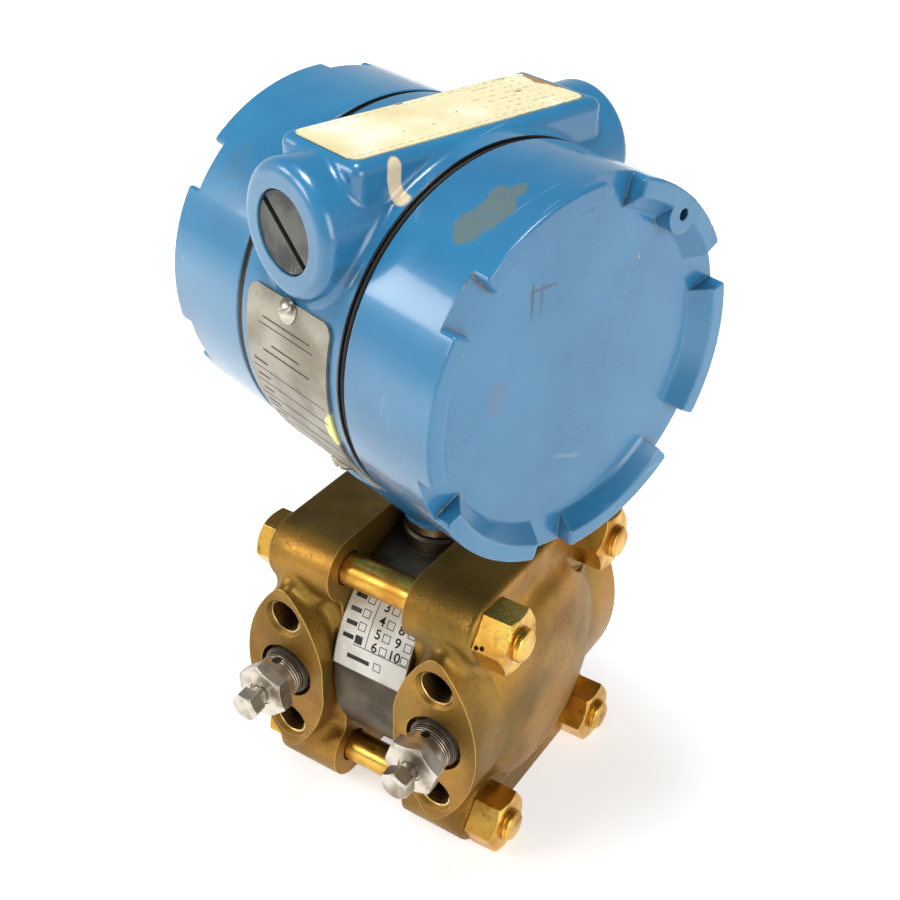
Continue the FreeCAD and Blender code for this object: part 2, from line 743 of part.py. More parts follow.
def cover():
    """Screwed cup with a flat face inside a ring of lugs, and one pin boss."""
    inner_face = cover_face_x - cover_plate
    bore = spigot_radius + running_gap
    relief = spigot_end_x + cover_seam + cover_thread_relief
    edge = cover_edge
    cup = turned([(seam_x, bore), (seam_x, housing_radius - edge), (seam_x + edge, housing_radius),
                  (lug_tip_x, housing_radius), (lug_tip_x, lug_tip_radius),
                  (cover_face_x + lug_foot_rise, lug_root_radius),
                  (cover_face_x, lug_root_radius - lug_foot_rise), (cover_face_x, 0), (inner_face, 0),
                  (inner_face, cover_wall_radius), (relief, cover_wall_radius), (relief, bore)], X)
    pitch = 360.0 / lug_count
    cup = cup.cut([notch_cutter(lug_phase + pitch * (i + 0.5)) for i in range(lug_count)])
    corners = [e for e in cup.Edges
               if e.BoundBox.XMax > lug_tip_x - tiny and e.BoundBox.XLength > lug_height / 2
               and reach(e) > housing_radius - tiny]
    cup = cup.makeFillet(lug_corner, corners)
    tops = [e for e in cup.Edges if e.BoundBox.XMin > lug_tip_x - tiny]
    cup = cup.makeFillet(lug_top_edge, tops)
    angle = math.radians(lug_phase)
    spot = V(0, math.sin(angle), math.cos(angle)) * pin_circle
    boss = cylinder(pin_boss_radius, lug_tip_x - inner_face, spot + X * inner_face, X)
    boss = boss.common(cylinder(housing_radius - lug_top_edge, far, O, X))
    hole = cylinder(pin_hole_radius, pin_hole_depth, spot + X * lug_tip_x, X * -1)
    return one(cup.fuse(boss).cut(hole))


def cover_seal():
    """O-ring squeezed between the band and the cover's rim."""
    low = spigot_radius + seal_inner_gap
    high = housing_radius - seal_outer_gap
    x0, x1 = band_half_width + seal_face_gap, seam_x - seal_face_gap
    ring = turned([(x0, low), (x0, high), (x1, high), (x1, low)], X)
    rims = [e for e in ring.Edges if e.BoundBox.ZMax > high - 0.01]
    return one(ring.makeFillet(seal_rounding, rims))


def conduit_plug():
    """Slotted pipe plug in the front conduit entry."""
    height = housing_axis_height + conduit_rise
    face = -conduit_reach + plug_sunk
    radius = conduit_radius - thread_gap
    plug = turned([(face, 0), (face, radius - plug_edge), (face + plug_edge, radius),
                   (face + plug_length, radius), (face + plug_length, 0)], Y)
    half = plug_slot_width / 2
    slot = box(-far, far, -far, face + plug_slot_depth, -half, half)
    slot.rotate(O, Y, plug_slot_turn)
    plug = plug.cut(slot)
    plug.translate(Z * height)
    return one(plug)


def corner_cutter(radius):
    """What a rounded corner leaves off, for the corner at +X +Y of a sheet on the XY plane."""
    block = box(0, 2 * radius, 0, 2 * radius, -far / 10, far / 10)
    return block.cut(cylinder(radius, far / 5, V(0, 0, -far / 10), Z))


def nameplate():
    """Curved plate under the front conduit, with a notch for each screw."""
    inner = housing_radius + thread_gap
    outer = inner + plate_thickness
    section = face_of([V(-plate_half_width, -inner, 0), V(plate_half_width, -inner, 0),
                       V(plate_half_width, -outer, 0), V(-plate_half_width, -outer, 0)])
    plate = section.revolve(O, X, plate_top_angle - plate_low_angle)
    plate.rotate(O, X, -plate_top_angle)
    inset = math.degrees(plate_corner / outer)
    cuts = []
    for side in (-1, 1):
        along = side * (plate_half_width - plate_corner)
        corner = corner_cutter(plate_corner)
        if side < 0:
            corner = corner.mirror(O, X)
        cuts.append(radial(corner, plate_top_angle - inset, outer, along))
        cuts.append(radial(corner.mirror(O, Y), plate_low_angle + inset, outer, along))
    notch = cylinder(plate_notch_radius, far / 5, V(0, 0, -far / 10), Z)
    cuts += [radial(notch, angle, outer) for angle in plate_screw_angles]
    return one(on_axis(plate).cut(cuts))


def plate_screw(angle):
    """Round-headed slotted screw."""
    seat = housing_radius + thread_gap + plate_thickness
    crown = plate_screw_head_radius * plate_screw_crown
    head = Part.makeSphere(crown, V(0, 0, plate_screw_head_height - crown))
    head = head.common(cylinder(plate_screw_head_radius, plate_screw_head_height, O, Z))
    shank = cylinder(plate_screw_radius, plate_screw_length, Z * -plate_screw_length, Z)
    half = plate_screw_slot / 2
    slot = box(-far, far, -half, half, plate_screw_head_height - plate_screw_slot, far)
    slot.rotate(O, Z, plate_screw_slot_turn)
    return one(radial(head.fuse(shank).cut(slot), angle, seat))


def adjuster(angle):
    """Slotted adjusting screw under the nameplate; its tip turns a potentiometer."""
    outside = housing_radius - adjuster_sunk
    length = outside - chamber_radius
    half = adjuster_slot / 2
    body = cylinder(adjuster_radius, length, Z * -length, Z)
    tip = cylinder(adjuster_tip_radius, adjuster_tip_length, Z * (-length - adjuster_tip_length), Z)
    slot = box(-far, far, -half, half, -adjuster_slot_depth, far)
    return one(radial(body.fuse(tip).cut(slot), angle, outside, adjuster_x))


def deck_label():
    z = housing_axis_height + deck_rise
    sheet = box(-deck_label_half_width, deck_label_half_width,
                deck_label_shift - deck_label_half_length, deck_label_shift + deck_label_half_length,
                z, z + label_thickness)
    corners = [e for e in sheet.Edges if e.BoundBox.ZLength > label_thickness / 2]
    return one(sheet.makeFillet(deck_label_corner, corners))


# ---- circuit compartment ----
def post_spots():
    return [(post_circle * math.cos(math.radians(a)), post_circle * math.sin(math.radians(a)))
            for a in post_angles]


def printed_board(x, cans, blocks):
    """Round printed board with its parts, its screw holes and the notch for the leads."""
    back = x - board_thickness
    board = cylinder(board_radius, board_thickness, V(back, 0, 0), X)
    hole = post_screw_radius + screw_hole_gap
    cuts = [cylinder(hole, board_thickness, V(back, y, z), X) for y, z in post_spots()]
    cuts.append(box(back, x, -board_notch_half, board_notch_half,
                    -board_radius, -board_radius + board_notch_depth))
    parts = [cylinder(radius, height, V(back, y, z), X * -1) for y, z, radius, height in cans]
    parts += [box(back - height, back, y - wide / 2, y + wide / 2, z - tall / 2, z + tall / 2)
              for y, z, wide, tall, height in blocks]
    return one(on_axis(board.cut(cuts).multiFuse(parts)))


def circuit_posts():
    """Pillars that carry the two boards on the partition."""
    solids = []
    for y, z in post_spots():
        upper = z > partition_step_z
        wall = (partition_high_x if upper else partition_low_x) - half_partition
        between = amplifier_board_x - board_thickness - calibration_board_x
        solids.append(cylinder(post_radius, wall - amplifier_board_x, V(amplifier_board_x, y, z), X))
        solids.append(cylinder(post_radius, between, V(calibration_board_x, y, z), X))
    return Part.makeCompound([on_axis(s) for s in solids])


def board_screws():
    solids = []
    top = calibration_board_x - board_thickness
    for y, z in post_spots():
        head = cylinder(post_screw_head_radius, post_screw_head_height, V(top, y, z), X * -1)
        shank = cylinder(post_screw_radius, board_thickness, V(top, y, z), X)
        solids.append(on_axis(one(head.fuse(shank))))
    return Part.makeCompound(solids)


def potentiometer(angle):
    """Trimmer on the front of the amplifier board, its socket facing the adjuster's tip."""
    face = chamber_radius - adjuster_tip_length + pot_overlap
    half = pot_width / 2
    start = amplifier_board_x - adjuster_x
    body = box(start, start + pot_length, -half, half, -pot_depth, 0)
    socket = cylinder(adjuster_tip_radius + pot_socket_gap, pot_socket_depth,
                      Z * -pot_socket_depth, Z)
    return one(radial(body.cut(socket), angle, face, adjuster_x))


# ---- terminal compartment ----
def terminal_ys():
    middle = (terminal_count - 1) / 2
    return [terminal_pitch * (i - middle) for i in range(terminal_count)]


def terminal_block():
    """Moulded block on the partition, with walls between its terminals."""
    base = block_face_x - block_height
    disc = cylinder(block_radius, block_height, V(base, 0, 0), X)
    disc = disc.common(box(base, block_face_x, -far, far, block_low_z, block_top_z))
    rim = [e for e in disc.Edges if e.BoundBox.XMin > block_face_x - 0.01]
    disc = disc.makeFillet(block_edge, rim)
    half = block_wall / 2
    walls = [box(base, block_face_x + block_wall_height, y + terminal_pitch / 2 - half,
                 y + terminal_pitch / 2 + half, block_wall_low_z, block_wall_top_z)
             for y in terminal_ys()[:-1]]
    hole = terminal_screw_radius + thread_gap
    depth = terminal_screw_length + thread_gap
    cuts = [cylinder(hole, depth, V(block_face_x, y, 0), X * -1) for y in terminal_ys()]
    cuts += [cylinder(block_screw_radius + screw_hole_gap, block_height,
                      V(base, y, block_screw_z), X) for y in (-block_screw_y, block_screw_y)]
    return one(on_axis(disc.multiFuse(walls).cut(cuts)))


def terminal_screws():
    """Slotted binding screws, each with its square clamp plate."""
    solids = []
    half = terminal_plate_half
    head_x = block_face_x + terminal_plate_thickness
    top = head_x + terminal_head_height
    for y in terminal_ys():
        clamp = box(block_face_x, head_x, y - half, y + half, -half, half)
        head = cylinder(terminal_head_radius, terminal_head_height, V(head_x, y, 0), X)
        shank = cylinder(terminal_screw_radius, terminal_screw_length, V(block_face_x, y, 0), X * -1)
        slot = box(top - terminal_slot_depth, far, -far, far, -terminal_slot / 2, terminal_slot / 2)
        solids.append(on_axis(one(clamp.multiFuse([head, shank]).cut(slot))))
    return Part.makeCompound(solids)


def block_screws():
    solids = []
    for y in (-block_screw_y, block_screw_y):
        spot = V(block_face_x, y, block_screw_z)
        head = cylinder(block_screw_head_radius, block_screw_head_height, spot, X)
        shank = cylinder(block_screw_radius, block_height, spot, X * -1)
        solids.append(on_axis(one(head.fuse(shank))))
    return Part.makeCompound(solids)


def feedthroughs():
    """Pins in glass beads that carry the signal through the partition."""
    solids = []
    start = partition_high_x - half_partition
    length = partition_thickness + 2 * feedthrough_reach
    for y in feedthrough_ys():
        bead = cylinder(feedthrough_bead_radius, partition_thickness,
                        V(start, y, feedthrough_rise), X)
        pin = cylinder(feedthrough_radius, length, V(start - feedthrough_reach, y, feedthrough_rise), X)
        solids.append(on_axis(one(bead.fuse(pin))))
    return Part.makeCompound(solids)


# ---- the assembly ----
def at_foot(shape):
    shape = shape.copy()
    shape.translate(Z * foot_height)
    return shape


def on_neck(shape):
    """Turns a housing piece about the neck and lifts it to its place."""
    shape = shape.copy()
    shape.rotate(O, Z, housing_turn)
    shape.translate(Z * foot_height)
    return shape


def fixed_pieces():
    seat = {side: valve_seat(turn) for side, turn in seat_turns.items()}
    stem = {side: valve_stem(turn) for side, turn in stem_turns.items()}
    for side, x in (("high", port_x), ("low", -port_x)):
        seat[side].translate(X * x)
        stem[side].translate(X * x)
    bolts = [flange_bolt(y, z, turn) for (y, z), turn in zip(bolt_places, nut_turns)]
    nuts = [flange_nut(y, z, turn) for (y, z), turn in zip(bolt_places, nut_turns)]
    high = flange()
    return {
        "sensor_module": sensor_module(),
        "high_diaphragm": isolating_diaphragm(),
        "low_diaphragm": mirrored(isolating_diaphragm()),
        "high_process_seal": process_seal(),
        "low_process_seal": mirrored(process_seal()),
        "high_cell_cup": cell_cup(),
        "low_cell_cup": mirrored(cell_cup()),
        "sensing_diaphragm": sensing_diaphragm(),
        "header_board": header_board(),
        "neck_lock_ring": lock_ring(),
        "module_label": curved_label(module_radius, module_label_half_width,
                                     module_label_low_angle, module_label_top_angle),
        "high_flange": high,
        "low_flange": mirrored(high),
        "flange_bolts": Part.makeCompound(bolts),
        "flange_nuts": Part.makeCompound(nuts),
        "high_vent_seat": seat["high"],
        "low_vent_seat": seat["low"],
        "high_vent_stem": stem["high"],
        "low_vent_stem": stem["low"],
    }


def housing_pieces():
    lid = cover()
    ring = cover_seal()
    return {
        "electronics_housing": electronics_housing(),
        "terminal_cover": on_axis(lid),
        "circuit_cover": on_axis(mirrored(lid)),
        "terminal_cover_seal": on_axis(ring),
        "circuit_cover_seal": on_axis(mirrored(ring)),
        "conduit_plug": conduit_plug(),
        "nameplate": nameplate(),
        "nameplate_screws": Part.makeCompound([plate_screw(a) for a in plate_screw_angles]),
        "zero_adjuster": adjuster(adjuster_angles[0]),
        "span_adjuster": adjuster(adjuster_angles[1]),
        "deck_label": deck_label(),
        "amplifier_board": printed_board(amplifier_board_x, amplifier_cans, amplifier_blocks),
        "calibration_board": printed_board(calibration_board_x, calibration_cans, calibration_blocks),
        "circuit_posts": circuit_posts(),
        "board_screws": board_screws(),
        "zero_potentiometer": potentiometer(adjuster_angles[0]),
        "span_potentiometer": potentiometer(adjuster_angles[1]),
        "terminal_block": terminal_block(),
        "terminal_screws": terminal_screws(),
        "terminal_block_screws": block_screws(),
        "feedthroughs": feedthroughs(),
    }


os.makedirs("parts", exist_ok=True)
for name, shape in fixed_pieces().items():
    at_foot(shape).exportStep("parts/%s.step" % name)
for name, shape in housing_pieces().items():
    on_neck(shape).exportStep("parts/%s.step" % name)
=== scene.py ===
import math

import bpy
from mathutils import Matrix, Vector


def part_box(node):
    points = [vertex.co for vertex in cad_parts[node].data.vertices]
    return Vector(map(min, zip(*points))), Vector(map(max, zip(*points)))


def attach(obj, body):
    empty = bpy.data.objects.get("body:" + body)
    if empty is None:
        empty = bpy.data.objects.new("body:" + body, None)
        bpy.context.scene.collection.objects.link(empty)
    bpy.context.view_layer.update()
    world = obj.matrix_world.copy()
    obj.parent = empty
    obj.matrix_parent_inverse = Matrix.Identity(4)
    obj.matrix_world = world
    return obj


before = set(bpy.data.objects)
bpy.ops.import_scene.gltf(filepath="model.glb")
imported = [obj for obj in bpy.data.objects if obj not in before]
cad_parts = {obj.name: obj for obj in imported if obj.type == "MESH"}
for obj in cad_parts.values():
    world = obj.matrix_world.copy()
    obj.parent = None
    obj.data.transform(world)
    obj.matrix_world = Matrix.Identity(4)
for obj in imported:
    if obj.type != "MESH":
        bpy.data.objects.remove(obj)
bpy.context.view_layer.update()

# ---- Sensor module ----
# Welded steel drum that holds the oil-filled cell, with the collar and stub of the neck turned on it.
# The steel is left as machined, and years of handling have browned it.


class Wire:
    """What a shader socket gives, as a number that sums and products can be written with."""

    def __init__(self, nodes, socket):
        self.nodes = nodes
        self.socket = socket

    def __add__(self, other):
        return self.nodes.maths("ADD", self, other)

    def __sub__(self, other):
        return self.nodes.maths("SUBTRACT", self, other)

    def __rsub__(self, other):
        return self.nodes.maths("SUBTRACT", other, self)

    def __mul__(self, other):
        return self.nodes.maths("MULTIPLY", self, other)

    def __lt__(self, other):
        return self.nodes.maths("LESS_THAN", self, other)

    def __gt__(self, other):
        return self.nodes.maths("GREATER_THAN", self, other)

    def __mod__(self, other):
        return self.nodes.maths("FLOORED_MODULO", self, other)

    def __abs__(self):
        return self.nodes.maths("ABSOLUTE", self)

    __radd__ = __add__
    __rmul__ = __mul__


class Nodes:
    """The nodes of one shader tree, all made by one method."""

    def __init__(self, tree):
        self.tree = tree
        self.tree.nodes.clear()

    def node(self, kind, settings=None, sockets=None, out=0):
        """Adds a node: its settings first, then the value or link of each socket."""
        made = self.tree.nodes.new("ShaderNode" + kind)
        for name, value in (settings or {}).items():
            setattr(made, name, value)
        for name, value in (sockets or {}).items():
            if isinstance(value, Wire):
                self.tree.links.new(value.socket, made.inputs[name])
            else:
                made.inputs[name].default_value = value
        return Wire(self, made.outputs[out]) if made.outputs else None

    def maths(self, operation, *values):
        return self.node("Math", {"operation": operation}, dict(enumerate(values)))

    def greater(self, first, second):
        return self.maths("MAXIMUM", first, second)

    def seen_by(self, *kinds):
        """1 for these kinds of ray, 0 for the others."""
        rays = sum(self.node("LightPath", out="Is %s Ray" % kind) for kind in kinds)
        return self.maths("MINIMUM", rays, 1.0)


class Finish(Nodes):
    """The shader nodes of one material. Its places are in the object's own metres, turned about Z."""

    def __init__(self, name, turn=0.0):
        self.material = bpy.data.materials.new(name)
        self.material.use_nodes = True
        super().__init__(self.material.node_tree)
        own = self.node("TexCoord", out="Object")
        self.place = self.node("Mapping", sockets={"Vector": own, "Rotation": (0, 0, turn)})

    def noise(self, scale, detail=3.0, stretch=(1, 1, 1), shift=0.0):
        place = self.node("Mapping", sockets={
            "Vector": self.place, "Scale": stretch, "Location": (shift, shift, shift)})
        return self.node("TexNoise", sockets={"Vector": place, "Scale": scale, "Detail": detail})

    def fade(self, value, low, high):
        """0 below low, 1 above high, soft between."""
        return self.node("MapRange", {"interpolation_type": "SMOOTHSTEP"},
                         {"Value": value, "From Min": low, "From Max": high})

    def mix(self, first, second, share):
        return self.node("Mix", {"data_type": "RGBA"}, {0: share, 6: first, 7: second}, out=2)

    def along(self, axis):
        return self.node("SeparateXYZ", sockets={"Vector": self.place}, out=axis)

    def rounded(self, radius):
        """The surface's normal with its edges rounded over."""
        return self.node("Bevel", {"samples": 6}, {"Radius": radius})

    def edges(self, radius):
        """1 along edges, 0 on open faces."""
        face = self.node("NewGeometry", out="Normal")
        alike = self.node("VectorMath", {"operation": "DOT_PRODUCT"},
                          {0: self.rounded(radius), 1: face}, out="Value")
        return self.fade(1 - alike, 0.01, 0.2)

    def corners(self, distance):
        """1 deep in inner corners, from the ambient occlusion: a mask for painted shade."""
        open_air = self.node("AmbientOcclusion", {"samples": 8, "only_local": True},
                             {"Distance": distance}, out="AO")
        return 1 - self.fade(open_air, 0.35, 0.85)

    def lines(self, scale, stretch, width):
        """Hair lines, where a stretched noise crosses its middle."""
        crossing = abs(self.noise(scale, 1.0, stretch) - 0.5)
        return 1 - self.fade(crossing, width * 0.5, width)

    def spot(self, centre, reach, ragged=0.5, grain=250):
        """1 inside an ellipsoid with a ragged edge."""
        offset = self.node("VectorMath", {"operation": "SUBTRACT"}, {0: self.place, 1: centre})
        share = self.node("VectorMath", {"operation": "DIVIDE"}, {0: offset, 1: reach})
        size = self.node("VectorMath", {"operation": "LENGTH"}, {0: share}, out="Value")
        return 1 - self.fade(size + (self.noise(grain, 4.0) - 0.5) * ragged * 2, 0.8, 1.0)

    def bump(self, height, distance, radius=0.0003):
        """A relief of this depth on the rounded surface."""
        return self.node("Bump", sockets={
            "Height": height, "Distance": distance, "Strength": 1.0, "Normal": self.rounded(radius)})

    def surface(self, colour, roughness, metallic, normal, **more):
        """Ends the tree in one shader. More of its sockets are named with _ for each space."""
        shader = self.node("BsdfPrincipled", sockets={
            "Base Color": colour, "Roughness": roughness, "Metallic": metallic, "Normal": normal,
            **{name.replace("_", " "): value for name, value in more.items()}})
        self.node("OutputMaterial", sockets={"Surface": shader})
        return self.material


def tint(red, green, blue):
    """Colour from display values of 0 to 255."""
    return tuple((value / 255) ** 2.2 for value in (red, green, blue)) + (1.0,)


def dress(material, *names):
    """Gives CAD nodes their material."""
    for name in names:
        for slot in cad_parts[name].material_slots:
            slot.material = material


def worked_metal(name, light, dark, roughness, turning=(1, 1, 1)):
    """Bare turned or milled metal: tool lines, stains, edges painted brighter (partly rubbed wear, partly
    painted highlight), and painted shade in inner corners.
    """
    metal = Finish(name)
    stain = metal.fade(metal.noise(70, 5.0), 0.35, 0.7)
    tool = metal.noise(2200, 2.0, turning)
    edge = metal.edges(0.0004)
    # Edges painted brighter: partly rubbed wear, partly painted highlight.
    colour = metal.mix(metal.mix(light, dark, stain), tint(235, 225, 205), edge * 0.35)
    # Painted shade: darker in inner corners.
    colour = metal.mix(colour, dark, metal.corners(0.003) * 0.5)
    rough = roughness + stain * 0.14 + (tool - 0.5) * 0.12
    return metal.surface(colour, rough, 1.0, metal.bump(tool, 0.00002, 0.0002))


module_axis = 0.0469
module_radius = 0.0381
module_finish = worked_metal("module_steel", tint(98, 89, 76), tint(78, 71, 60), 0.42, (1, 0.02, 0.02))
dress(module_finish, "sensor_module")

# ---- Module label and its print ----
# Paper label glued round the drum between the flanges, printed black.
# Rows of check boxes with the range numbers 3 to 10 beside them, and ruled lines.

label_paper = Finish("module_paper")
label_dirt = label_paper.fade(label_paper.noise(120, 6.0), 0.42, 0.72)
label_colour = label_paper.mix(tint(244, 242, 232), tint(204, 196, 174), label_dirt * 0.6)
label_colour = label_paper.mix(label_colour, tint(120, 104, 78), label_paper.edges(0.0008) * 0.6)
dress(label_paper.surface(label_colour, 0.5 + label_dirt * 0.2, 0.0,
                          label_paper.bump(label_paper.noise(900, 3.0), 0.00003)), "module_label")


def start_piece():
    """Leaves nothing selected, so that the next step acts on new work alone."""
    if bpy.context.mode != "OBJECT":
        bpy.ops.object.mode_set(mode="OBJECT")
    bpy.ops.object.select_all(action="DESELECT")


def bar(x, y, width, height, hollow=0.0):
    """A flat printed bar, or the outline of one."""
    start_piece()
    bpy.ops.mesh.primitive_plane_add(size=1, location=(x, y, 0))
    mark = bpy.context.object
    mark.scale = (width, height, 1)
    bpy.ops.object.transform_apply()
    bpy.ops.object.mode_set(mode="EDIT")
    if hollow:
        bpy.ops.mesh.inset(thickness=hollow)
        bpy.ops.mesh.delete(type="FACE")
    bpy.ops.object.mode_set(mode="OBJECT")
    return mark


def figure(text, x, y, size):
    """A printed number, its middle at x and y."""
    start_piece()
    bpy.ops.object.text_add(location=(x, y, 0))
    digits = bpy.context.object
    digits.data.body = text
    digits.data.size = size
    digits.data.offset = size * 0.014
    digits.data.align_x = "CENTER"
    digits.data.align_y = "CENTER"
    bpy.ops.object.convert(target="MESH")
    bpy.ops.object.transform_apply()
    return bpy.context.object


def join(name, marks):
    """Makes one piece of all the marks."""
    start_piece()
    for mark in marks:
        mark.select_set(True)
    bpy.context.view_layer.objects.active = marks[0]
    bpy.ops.object.join()
    bpy.context.object.name = name
    return bpy.context.object


ink_lift = 0.00003         # of the print's underside over the drum
ink_thickness = 0.00002
cut_step = 0.0006


def roll(drawing, radius, axis_height, low_angle, turn=0.0):
    """Rolls a flat drawing on a drum along X: x stays along it, y goes up its front from low_angle.

    It is first cut across in fine steps, so that its faces follow the drum."""
    bpy.ops.object.mode_set(mode="EDIT")
    highest = max(vertex.co.y for vertex in drawing.data.vertices)
    for cut in range(1, int(highest / cut_step) + 1):
        bpy.ops.mesh.select_all(action="SELECT")
        bpy.ops.mesh.bisect(plane_co=(0, cut * cut_step, 0), plane_no=(0, 1, 0))
    bpy.ops.object.mode_set(mode="OBJECT")
    swing = Matrix.Rotation(turn, 3, "Z")
    for vertex in drawing.data.vertices:
        along, arc, rise = vertex.co
        angle = low_angle + arc / radius
        reach = radius + rise + ink_lift
        point = Vector((along, -reach * math.cos(angle), axis_height + reach * math.sin(angle)))
        vertex.co = swing @ point
    drawing.modifiers.new("ink", "SOLIDIFY").thickness = ink_thickness
    bpy.ops.object.modifier_apply(modifier="ink")


def ink(name, colour, worn):
    """Printed or etched black, rubbed through here and there."""
    print_ink = Finish(name)
    rubbed = print_ink.fade(print_ink.noise(420, 5.0), 0.55, 0.7)
    return print_ink.surface(print_ink.mix(colour, worn, rubbed * 0.6), 0.5 + rubbed * 0.2, 0.0,
                             print_ink.bump(rubbed, 0.00001, 0.0001))


label_low = math.radians(10.8)
label_radius = -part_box("module_label")[0].y / math.cos(label_low)
row_angles = (17.3, 26.0, 32.2, 38.4, 45.0)
row_arcs = [(math.radians(angle) - label_low) * label_radius for angle in row_angles]
box_size = 0.0026
rule = 0.00025             # width of the thin lines
code_height = 0.0014
figure_size = 0.0043
figure_drop = 0.0003       # of the numbers and their boxes, below the row of codes
marks = [bar(0.0026, row_arcs[0], box_size, box_size, rule)]
marks.append(bar(-0.0042, row_arcs[0], 0.0080, code_height))
for row, arc in enumerate(row_arcs[1:]):
    ticked = row == 0
    marks.append(bar(-0.0054, arc, box_size, box_size, 0.0 if ticked else rule))
    marks.append(bar(-0.0092, arc, 0.0038, code_height))
    marks.append(bar(0.0034, arc - figure_drop, box_size, box_size, rule))
    marks.append(bar(0.0110, arc - figure_drop, box_size, box_size, rule))
    marks.append(figure(str(6 - row), 0.0003, arc - figure_drop, figure_size))
    marks.append(figure(str(10 - row), 0.0074, arc - figure_drop, figure_size))
marks.append(bar(-0.0026, 0.0187, rule, 0.0205))
marks.append(bar(0.0028, 0.0083, 0.0196, rule))
marks.append(bar(-0.0002, 0.0268, 0.0246, 0.0003))
marks.append(bar(-0.0002, 0.0283, 0.0200, 0.0008))
label_print = join("module_label_print", marks)
roll(label_print, label_radius, module_axis, label_low)
label_print.data.materials.append(ink("label_ink", tint(28, 27, 26), tint(110, 106, 98)))
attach(label_print, "base")

# ---- Side marks ----
# A plus and a minus are struck into the drum near its top, so that the pipes go to the right flanges.
# The strokes are dark, rubbed lighter here and there.

marks_low = math.radians(62.0)
mark_rise = 0.0018         # of the marks' middle above that angle, along the drum
mark_size = 0.0032
stroke = 0.0007
upright = 0.0012           # each half of the plus's upright
upright_shift = 0.0011
plus_x = 0.0070
marks = [bar(side * plus_x, mark_rise, mark_size, stroke) for side in (1, -1)]
marks += [bar(plus_x, mark_rise + side * upright_shift, stroke, upright) for side in (1, -1)]
side_marks = join("side_marks", marks)
roll(side_marks, module_radius, module_axis, marks_low)
side_marks.data.materials.append(ink("stamped_dark", tint(30, 26, 22), tint(70, 62, 52)))
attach(side_marks, "base")

# ---- Inside of the module ----
# Thin corrugated diaphragms stand against the process, ceramic halves hold the sensing diaphragm,
# and O-rings seal the flanges. All of it is closed in.


def moulding(name, colour, second, roughness):
    """Moulded or fired stuff: cloudy colour, fine skin, dull edges."""
    body = Finish(name)
    cloud = body.fade(body.noise(90, 4.0), 0.3, 0.7)
    skin = body.noise(900, 3.0)
    worn = body.edges(0.0004)
    shade = body.mix(body.mix(colour, second, cloud), second, worn * 0.5)
    return body.surface(shade, roughness + cloud * 0.12, 0.0, body.bump(skin, 0.00003))


diaphragm_steel = worked_metal("diaphragm_steel", tint(205, 202, 196), tint(168, 164, 158), 0.22)
dress(diaphragm_steel, "high_diaphragm", "low_diaphragm", "sensing_diaphragm")
rubber = moulding("black_rubber", tint(10, 10, 11), tint(20, 19, 18), 0.62)
dress(rubber, "high_process_seal", "low_process_seal")
cell_ceramic = moulding("cell_ceramic", tint(214, 208, 196), tint(190, 182, 168), 0.35)
dress(cell_ceramic, "high_cell_cup", "low_cell_cup")
dress(moulding("header_ceramic", tint(176, 150, 120), tint(132, 108, 86), 0.4), "header_board")

# ---- Process flanges ----
# Steel castings with lobes for the bolts, lens-shaped pads and a domed back, zinc plated and chromated.
# The gold of the chromate has gone brown and olive in patches. Its edges are painted brighter, partly
# rubbed wear and partly painted highlight, and its inner corners darker as painted shade.

flange = Finish("flange_plating")
patches = flange.fade(flange.noise(38, 5.0), 0.38, 0.66)
olive = flange.fade(flange.noise(24, 3.0, shift=0.3), 0.45, 0.7)
cast_grain = flange.noise(1300, 4.0)
pits = flange.fade(flange.noise(620, 2.0, shift=0.7), 0.60, 0.72)
bright_edge = flange.edges(0.0007)
flange_colour = flange.mix(tint(170, 125, 54), tint(132, 96, 40), patches)
flange_colour = flange.mix(flange_colour, tint(108, 94, 42), olive * 0.6)
flange_colour = flange.mix(flange_colour, tint(92, 66, 38), flange.fade(cast_grain, 0.55, 0.75) * 0.45)
flange_colour = flange.mix(flange_colour, tint(70, 50, 32), pits * 0.25)
# Painted shade: darker in inner corners.
flange_colour = flange.mix(flange_colour, tint(56, 42, 24), flange.corners(0.006) * 0.6)
# Edges painted brighter: partly rubbed wear, partly painted highlight.
flange_colour = flange.mix(flange_colour, tint(232, 188, 104), bright_edge * 0.75)
flange_rough = 0.40 + patches * 0.12 + (cast_grain - 0.5) * 0.3
flange_skin = flange.bump(cast_grain - pits * 0.5, 0.0001, 0.0006)
dress(flange.surface(flange_colour, flange_rough, 0.82, flange_skin), "high_flange", "low_flange")

# ---- Threads in the pads and entries ----
# Each pad has two tapped holes for a manifold's bolts, and the rear pads a tapped pipe port between them.
# The thread stands in the hole as a V-shaped ridge, brassy where the plating reached it.


thread_steps = 40          # to a turn


def thread(name, radius, pitch, turns, bite):
    """A helical ridge in a hole along Z, from the origin up, whose crest stands bite proud of the wall."""
    start_piece()
    size = pitch / math.sqrt(3)
    sink = 1.5 * size - bite
    middle = radius - size / 2 + sink
    bpy.ops.mesh.primitive_circle_add(
        vertices=3, radius=size, location=(middle, 0, 0), rotation=(math.pi / 2, -math.pi / 2, 0))
    ridge = bpy.context.object
    ridge.name = name
    bpy.ops.object.transform_apply()
    wind = ridge.modifiers.new("wind", "SCREW")
    wind.screw_offset = pitch
    wind.iterations = turns
    wind.steps = thread_steps
    wind.render_steps = thread_steps
    bpy.ops.object.modifier_apply(modifier="wind")
    bpy.ops.object.mode_set(mode="EDIT")
    bpy.ops.mesh.select_all(action="SELECT")
    bpy.ops.mesh.remove_doubles(threshold=0.000002)
    bpy.ops.mesh.fill_holes(sides=3)
    bpy.ops.mesh.select_all(action="SELECT")
    bpy.ops.mesh.normals_make_consistent(inside=False)
    bpy.ops.object.mode_set(mode="OBJECT")
    return ridge


def stand(piece, place, tilt):
    """Puts a finished piece in its place, in its mesh."""
    start_piece()
    piece.select_set(True)
    bpy.context.view_layer.objects.active = piece
    piece.location = place
    piece.rotation_euler = tilt
    bpy.ops.object.transform_apply()


